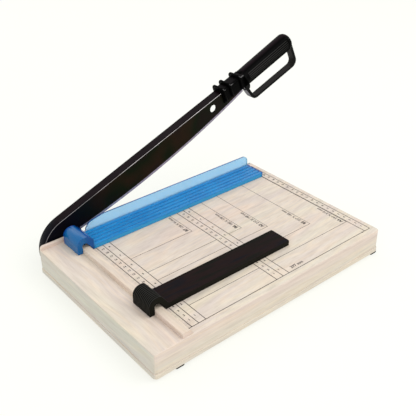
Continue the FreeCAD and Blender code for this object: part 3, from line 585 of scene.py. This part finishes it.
def bar_head_colour(s):
    """Teal turning navy at the head's far rim, its near lip, its crown and its inner flank."""
    low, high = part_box("press_bar")
    face = s.facing(Y)
    rim = s.rise(s.at(Y), high.y - HEAD_RIM, high.y, RIM_SHARE)
    lip = s.product(s.fall(s.at(Y), low.y, low.y + HEAD_LIP, LIP_SHARE), s.without(face))
    crown = s.rise(s.slant(X), *HEAD_CROWN, CROWN_SHARE)
    right = s.product(face, s.rise(s.at(X), *HEAD_RIGHT, RIGHT_SHARE))
    return s.mix(s.highest(rim, lip, crown, right), HEAD_TEAL, HEAD_NAVY)


def bar_blue(name):
    """The press bar's blue: deep in the head and the valleys, lighter on the thin front wall."""
    s = Shader(name, BAR_PLASTIC, roughness=0.26)
    far_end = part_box("press_bar")[1].x
    head = s.fall(s.at(X), *HEAD_FADE)
    end = s.rise(s.at(X), *(far_end - inset for inset in BAR_END_INSETS))
    swirl = s.noise(s.place, scale=35.0)
    top = s.mix(s.rise(swirl, *SWIRL_RANGE, BAR_SWIRL_SHARE), BAR_TOP, BAR_TOP_PALE)
    valley = s.rise(waves_across(s, "press_bar", BAR_RIDGES, start=0.0), *BAR_VALLEY)
    top = s.mix(s.product(valley, BAR_VALLEY_SHARE), top, BAR_VALLEY_BLUE)
    bar = s.mix(s.facing(Y, *BAR_WALL_LOOK), top, BAR_WALL)
    bar = s.mix(s.product(end, BAR_END_SHARE), bar, BAR_END_BLUE)
    s.join(s.mix(end, s.mix(head, grey(BAR_ALPHA), grey(HEAD_ALPHA)), grey(END_ALPHA)), "Alpha")
    s.vary_roughness(swirl, 0.20, 0.32)
    s.bump(s.noise(s.place, scale=700.0), distance=0.01 * MM, strength=0.3)
    return s.finish(s.mix(head, bar, bar_head_colour(s)), specular=0.35)


def fin_blue(name):
    """See-through light blue plastic, deeper in colour and less clear on its narrow edges."""
    s = Shader(name, FIN_BODY, roughness=0.2)
    flat = s.facing(Y, *FIN_FLAT_LOOK)
    swirl = s.noise(s.place, scale=30.0)
    tone = s.mix(s.rise(swirl, *SWIRL_RANGE, FIN_SWIRL_SHARE), FIN_BODY, scaled(FIN_BODY, FIN_SWIRL_SHADE))
    s.join(s.remap(flat, 0.0, 1.0, FIN_EDGE_ALPHA, FIN_ALPHA), "Alpha")
    s.vary_roughness(swirl, 0.17, 0.25)
    s.bump(s.noise(s.place, scale=500.0), distance=0.01 * MM, strength=0.25)
    return s.finish(s.mix(flat, FIN_EDGE, tone), specular=0.5)


# ------------------------------------------------------------------ metal, rubber, nylon and ink
BRUSH_STRETCH = 0.03
BRUSH_SHADES = (0.86, 1.1)
BRUSH_ROUGHNESS = (-0.06, 0.1)
STAIN = (0.45, 0.75, 0.0, 0.35)
STAIN_SHADE = 0.75
PLATED = rgb(176, 177, 180)
GROUND = rgb(166, 168, 174)
SPRING = rgb(96, 96, 102)
BRASS = rgb(190, 150, 80)
BRASS_LINES = ((0.35, rgb(160, 122, 62)), (0.65, rgb(205, 166, 96)))
RUBBER = rgb(8, 8, 9)
RUBBER_DUST = ((0.35, rgb(2, 2, 3)), (0.75, rgb(10, 10, 9)))
NYLON = rgb(214, 212, 204)
NYLON_CLOUDS = ((0.3, rgb(200, 198, 190)), (0.7, rgb(222, 220, 212)))
PRINT_DARK = rgb(44, 38, 36)
PRINT_PALE = rgb(132, 120, 110)
THIN_INK = 1.7


def steel(name, colour, roughness, brushed_along):
    """Ground or plated steel with fine lines along one axis and a slight stain."""
    s = Shader(name, colour, roughness)
    lines = s.noise(s.stretched(brushed_along, BRUSH_STRETCH), scale=1500.0, detail=3.0, roughness=0.6)
    dark, bright = BRUSH_SHADES
    brushed = s.ramp(lines, ((0.35, scaled(colour, dark)), (0.65, scaled(colour, bright))))
    stain = s.remap(s.noise(s.place, scale=60.0, detail=3.0), *STAIN)
    s.set("Metallic", 1.0)
    smooth, rough = BRUSH_ROUGHNESS
    s.vary_roughness(lines, roughness + smooth, roughness + rough)
    s.bump(lines, distance=0.01 * MM, strength=0.4)
    return s.finish(s.mix(stain, brushed, scaled(colour, STAIN_SHADE)))


def brass(name):
    s = Shader(name, BRASS, roughness=0.3)
    lines = s.noise(s.place, scale=1400.0, detail=3.0)
    s.set("Metallic", 1.0)
    s.vary_roughness(lines, 0.25, 0.4)
    return s.finish(s.ramp(lines, BRASS_LINES))


def rubber(name):
    s = Shader(name, RUBBER, roughness=0.8)
    dust = s.noise(s.place, scale=300.0, detail=4.0)
    s.vary_roughness(dust, 0.7, 0.9)
    s.bump(dust, distance=0.05 * MM, strength=0.6)
    return s.finish(s.ramp(dust, RUBBER_DUST), specular=0.02)


def nylon(name):
    s = Shader(name, NYLON, roughness=0.5)
    return s.finish(s.ramp(s.noise(s.place, scale=400.0), NYLON_CLOUDS))


def ink(name, colour):
    """Screen-printed ink, thin in places."""
    s = Shader(name, colour, roughness=0.6)
    thin = s.noise(s.place, scale=900.0, detail=3.0)
    s.vary_roughness(thin, 0.5, 0.7)
    return s.finish(s.ramp(thin, ((0.35, colour), (0.8, scaled(colour, THIN_INK)))))


# ------------------------------------------------------------------ CAD nodes
WELD_GAP = 0.001 * MM
SHARP_FROM = math.radians(32)
FEET = ("foot_front_left", "foot_front_right", "foot_rear_left", "foot_rear_right")
SMALL_PLATED = ("case_screws", "fence_screws", "bed_knife_nuts", "pivot_bracket", "pivot_washer")
LARGE_PLATED = ("pivot_bolt", "pivot_nut", "bed_knife_screws")


def soften(obj, width):
    """Weld the imported faces, round the sharp edges a little and keep the flats flat."""
    weld = obj.modifiers.new("weld", "WELD")
    weld.merge_threshold = WELD_GAP
    bevel = obj.modifiers.new("soft_edge", "BEVEL")
    bevel.width = width
    bevel.segments = 2
    bevel.limit_method = "ANGLE"
    bevel.angle_limit = SHARP_FROM
    bevel.harden_normals = True
    bevel.use_clamp_overlap = True


def dress(nodes, material, edge_mm):
    """Give the nodes the material and round their edges by that much, or leave them if it is 0."""
    for node in nodes:
        obj = frame["nodes"][node]
        obj.data.materials.clear()
        obj.data.materials.append(material)
        if edge_mm:
            soften(obj, edge_mm * MM)


def dress_cad_nodes():
    dress(("base_shell", "bottom_plate"), wood_print("wood_print", BOARD_TINT), edge_mm=0.25)
    dress(("side_fence", "hinge_end_rim"), wood_print("rail_wood_print", RAIL_TINT), edge_mm=0.2)
    plated = steel("plated_steel", PLATED, 0.3, X)
    dress(SMALL_PLATED, plated, edge_mm=0.08)
    dress(LARGE_PLATED, plated, edge_mm=0.12)
    dress(("bed_knife",), steel("ground_steel", GROUND, 0.28, X), edge_mm=0.1)
    dark_steel = steel("spring_steel", SPRING, 0.35, Y)
    dress(("pivot_disc_spring",), dark_steel, edge_mm=0.06)
    dress(("handle_screws",), dark_steel, edge_mm=0.08)
    dress(("pivot_bush",), brass("brass"), edge_mm=0.08)
    dress(FEET, rubber("foot_rubber"), edge_mm=0)
    dress(("blade_arm",), black_paint("black_enamel"), edge_mm=0.15)
    dress(("handle_grip",), handle_black("handle_plastic"), edge_mm=0.3)
    dress(("hand_guard",), strap_black("guard_plastic"), edge_mm=0.5)
    dress(("press_bar",), bar_blue("press_bar_blue"), edge_mm=0.2)
    dress(("guard_fin",), fin_blue("fin_blue"), edge_mm=0.2)
    dress(("paper_guide",), guide_black("guide_plastic"), edge_mm=0.25)
    dress(("guide_glide_pad",), nylon("nylon_pad"), edge_mm=0.1)


# ------------------------------------------------------------------ printed scales
CAPITAL_SHARE = 0.72
GLYPH_WELD = 0.002 * MM
DOT_SIDES = 20
DOT_RISE = 1.2
QUARTER_TURN = math.radians(90)
WORDS = {}


class Print:
    """Thin printed marks on the board, gathered into one mesh. Sizes in mm from the ruler's zero."""

    def __init__(self, name):
        self.name = name
        self.mesh = bmesh.new()

    def bar(self, x, y):
        """Rectangle between the two values on each axis."""
        low = PRINT_ZERO + Vector((x[0], y[0], 0.0)) * MM
        high = PRINT_ZERO + Vector((x[1], y[1], 0.0)) * MM
        size = high - low
        size.z = PRINT_THICK
        place = Matrix.Translation(low + size / 2) @ Matrix.Diagonal(size.to_4d())
        bmesh.ops.create_cube(self.mesh, size=1.0, matrix=place)

    def line(self, start, end, width):
        """Line along X or Y with square ends."""
        half = width / 2
        x = sorted((start[0], end[0]))
        y = sorted((start[1], end[1]))
        if x[1] - x[0] > y[1] - y[0]:
            self.bar(x, (y[0] - half, y[1] + half))
        else:
            self.bar((x[0] - half, x[1] + half), y)

    def dot(self, x, y, radius):
        """Round dot a little thicker than the lines, so that it covers them."""
        thick = PRINT_THICK * DOT_RISE
        place = Matrix.Translation(PRINT_ZERO + Vector((x, y, 0.0)) * MM + Vector((0, 0, thick / 2)))
        bmesh.ops.create_cone(self.mesh, cap_ends=True, segments=DOT_SIDES, radius1=radius * MM,
                              radius2=radius * MM, depth=thick, matrix=place)

    def text(self, words, x, y, height, turn=0.0, bold=0.0, centred=True):
        """Words at (x, y), with capitals of that height, turned anticlockwise."""
        place = Matrix.Translation(PRINT_ZERO + Vector((x, y, 0.0)) * MM) @ Matrix.Rotation(turn, 4, "Z")
        glyphs = word_mesh(words, height, bold, centred).copy()
        glyphs.transform(place)
        self.mesh.from_mesh(glyphs)
        bpy.data.meshes.remove(glyphs)

    def finish(self, material):
        mesh = bpy.data.meshes.new(self.name)
        bmesh.ops.recalc_face_normals(self.mesh, faces=self.mesh.faces)
        self.mesh.to_mesh(mesh)
        self.mesh.free()
        obj = bpy.data.objects.new(self.name, mesh)
        bpy.context.scene.collection.objects.link(obj)
        mesh.materials.append(material)
        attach(obj, "base")


def word_mesh(words, height, bold, centred):
    """Mesh of the words in the built-in typeface, lying flat with its underside at Z = 0."""
    key = (words, height, bold, centred)
    if key in WORDS:
        return WORDS[key]
    curve = bpy.data.curves.new("words", "FONT")
    curve.body = words
    curve.size = height * MM / CAPITAL_SHARE
    curve.extrude = PRINT_THICK / 2
    curve.offset = bold * MM
    curve.resolution_u = 2
    curve.align_x = "CENTER" if centred else "LEFT"
    curve.align_y = "CENTER"
    obj = bpy.data.objects.new("words", curve)
    mesh = bpy.data.meshes.new_from_object(obj)
    mesh.transform(Matrix.Translation((0, 0, PRINT_THICK / 2)))
    work = bmesh.new()
    work.from_mesh(mesh)
    bmesh.ops.remove_doubles(work, verts=work.verts, dist=GLYPH_WELD)
    work.to_mesh(mesh)
    work.free()
    bpy.data.objects.remove(obj)
    bpy.data.curves.remove(curve)
    WORDS[key] = mesh
    return mesh


# Everything on the board in mm from the rulers' zero.
BOARD_DEPTH = 233.0
LINE, THIN_LINE = 0.88, 0.6
DOT_R = 1.1
TICK = 0.12
CM_TICK, HALF_CM_TICK, MM_TICK = 2.6, 1.8, 1.1
LEFT_RULER = (4.2, 14.3, 24.6)
MIDDLE_RULER = (136.4, 147.5, 157.6)
RIGHT_RULER = (302.0, 312.3)

# The rulers' figures: height, boldness, and where each one stands along its ruler.
DIGIT, DIGIT_BOLD = 3.0, 0.15
CM, LAST_CM, CM_SHIFT = 10.0, 22, 1.0
INCH, LAST_INCH, INCH_SHIFT = 25.4, 9, -12.4
LEFT_FIGURES = (9.5, 19.0)
MIDDLE_FIGURES = (142.0, 152.0)
RIGHT_FIGURES = (307.9, None)

# A sheet's label, its words, and the corner where its long and its short line meet.
PAPER_SIZES = (
    ("B7", "128 X 91 mm", 124.3, 150.0),
    ("B6", "182 X 128 mm", 180.5, 113.0),
    ("A5", "210 X 148 mm", 210.0, 92.5),
    ("B5", "257 X 182 mm", 259.0, 60.0),
    ("A4", "297 X 210 mm", 301.0, 31.0),
)
LABEL_HEIGHT, LABEL_BOLD, LABEL_SHIFT = 4.8, 0.26, (-4.6, 7.5)
SIZE_HEIGHT, SIZE_BOLD, SIZE_SHIFT = 4.3, 0.12, (-4.2, 13.5)

SHEET_LENGTH = 297.0
SHEET_WORDS, SHEET_WORDS_PLACE = "297 mm", (177.0, 6.2)
SHEET_WORDS_HEIGHT, SHEET_WORDS_BOLD = 4.6, 0.16


def ruler(name, lines, cm_x, inch_x):
    """Lines that run away from the front edge, with centimetre and inch figures between them."""
    marks = Print(name)
    for x in lines:
        marks.line((x, 0.0), (x, BOARD_DEPTH), LINE)
    for cm in range(1, LAST_CM + 1):
        marks.text(str(cm), cm_x, CM * cm + CM_SHIFT, DIGIT, bold=DIGIT_BOLD)
    if inch_x is not None:
        for inch in range(1, LAST_INCH + 1):
            marks.text(str(inch), inch_x, INCH * inch + INCH_SHIFT, DIGIT, bold=DIGIT_BOLD)
    return marks


def tick_length(mm):
    if mm % 10 == 0:
        return CM_TICK
    return HALF_CM_TICK if mm % 5 == 0 else MM_TICK


def fine_ticks(name, starts):
    """Millimetre ticks beside the rulers' first lines."""
    ticks = Print(name)
    for start in starts:
        for mm in range(1, int(BOARD_DEPTH)):
            ticks.line((start, mm), (start + tick_length(mm), mm), TICK)
    return ticks


def front_line(name):
    """The line along the front, with a dot at each end of a 297 mm sheet."""
    front = Print(name)
    front.line((0.0, 0.0), (RIGHT_RULER[1], 0.0), LINE)
    for x in (0.0, SHEET_LENGTH):
        front.dot(x, 0.0, DOT_R)
    front.text(SHEET_WORDS, *SHEET_WORDS_PLACE, SHEET_WORDS_HEIGHT, bold=SHEET_WORDS_BOLD)
    return front


def paper_sizes(name):
    """Each sheet's two lines, broken where they cross the middle ruler, and its words up the long one."""
    sizes = Print(name)
    for label, words, x, y in PAPER_SIZES:
        sizes.line((x, y), (x, BOARD_DEPTH), THIN_LINE)
        if x > MIDDLE_RULER[2]:
            sizes.line((LEFT_RULER[2], y), (MIDDLE_RULER[0], y), THIN_LINE)
            sizes.line((MIDDLE_RULER[2], y), (x, y), THIN_LINE)
        else:
            sizes.line((LEFT_RULER[2], y), (x, y), THIN_LINE)
        dx, dy = LABEL_SHIFT
        sizes.text(label, x + dx, y + dy, LABEL_HEIGHT, QUARTER_TURN, LABEL_BOLD)
        dx, dy = SIZE_SHIFT
        sizes.text(words, x + dx, y + dy, SIZE_HEIGHT, QUARTER_TURN, SIZE_BOLD, centred=False)
    return sizes


def print_board():
    dark = ink("print_ink", PRINT_DARK)
    pale = ink("print_pale_ink", PRINT_PALE)
    front_line("print_front_line").finish(dark)
    ruler("print_left_ruler", LEFT_RULER, *LEFT_FIGURES).finish(dark)
    ruler("print_middle_ruler", MIDDLE_RULER, *MIDDLE_FIGURES).finish(dark)
    ruler("print_right_ruler", RIGHT_RULER, *RIGHT_FIGURES).finish(dark)
    starts = (LEFT_RULER[0], MIDDLE_RULER[0], RIGHT_RULER[0])
    fine_ticks("print_millimetre_ticks", starts).finish(pale)
    paper_sizes("print_paper_sizes").finish(dark)


# ------------------------------------------------------------------ floor, light and camera
FLOOR_HALF = 6.0
FLOOR_PAPER = (0.28, 0.28, 0.27)
FLOOR_GLOW, FLOOR_GLOW_STRENGTH = (0.98, 0.99, 0.93), 0.68
WORLD_WHITE, WORLD_STRENGTH = (1.0, 1.0, 0.985), 0.92

# Name, place from the board's centre in metres, diameter in metres, power in watts.
LAMPS = (
    ("key", (0.9, -0.9, 1.7), 1.6, 16.0),
    ("fill", (-1.6, -0.9, 0.9), 1.6, 8.0),
    ("back", (0.1, 1.6, 1.3), 1.2, 4.0),
)

CAMERA_AZIMUTH = -39.49
CAMERA_ELEVATION = 31.46
CAMERA_ROLL = -0.46
CAMERA_LENS = 58.09
CAMERA_SENSOR = 36.0
CAMERA_NEAR = 0.01
CAMERA_FROM_PRINT_ZERO = Vector((-340.3, -448.0, 499.5)) * MM


def stage():
    """A pale floor that glows a little, so that the cutter's shadow stays faint."""
    half = FLOOR_HALF
    corners = [(-half, -half, 0), (half, -half, 0), (half, half, 0), (-half, half, 0)]
    mesh = bpy.data.meshes.new("floor")
    mesh.from_pydata(corners, [], [(0, 1, 2, 3)])
    floor = bpy.data.objects.new("floor", mesh)
    bpy.context.scene.collection.objects.link(floor)
    s = Shader("floor_paper", FLOOR_PAPER, roughness=0.9)
    s.set("Specular IOR Level", 0.1)
    s.set("Emission Color", opaque(FLOOR_GLOW))
    s.set("Emission Strength", FLOOR_GLOW_STRENGTH)
    mesh.materials.append(s.material)


def area_light(name, place, aim, size, power):
    data = bpy.data.lights.new(name, "AREA")
    data.shape = "DISK"
    data.size = size
    data.energy = power
    light = bpy.data.objects.new(name, data)
    light.location = place
    light.rotation_euler = (aim - place).to_track_quat("-Z", "Y").to_euler()
    bpy.context.scene.collection.objects.link(light)


def lights():
    centre = (SHELL_LOW + SHELL_HIGH) / 2
    for name, offset, size, power in LAMPS:
        area_light(name, centre + Vector(offset), centre, size, power)
    world = bpy.data.worlds.new("studio")
    bpy.context.scene.world = world
    world.use_nodes = True
    background = world.node_tree.nodes["Background"]
    background.inputs["Color"].default_value = opaque(WORLD_WHITE)
    background.inputs["Strength"].default_value = WORLD_STRENGTH
    bpy.context.scene.view_settings.view_transform = "Standard"


def camera():
    data = bpy.data.cameras.new("camera")
    data.lens = CAMERA_LENS
    data.sensor_width = CAMERA_SENSOR
    data.clip_start = CAMERA_NEAR
    obj = bpy.data.objects.new("camera", data)
    turn = (Matrix.Rotation(math.radians(CAMERA_AZIMUTH), 4, "Z")
            @ Matrix.Rotation(math.radians(90 - CAMERA_ELEVATION), 4, "X")
            @ Matrix.Rotation(math.radians(CAMERA_ROLL), 4, "Z"))
    obj.matrix_world = Matrix.Translation(PRINT_ZERO + CAMERA_FROM_PRINT_ZERO) @ turn
    bpy.context.scene.collection.objects.link(obj)
    bpy.context.scene.camera = obj


dress_cad_nodes()
print_board()
stage()
lights()
camera()
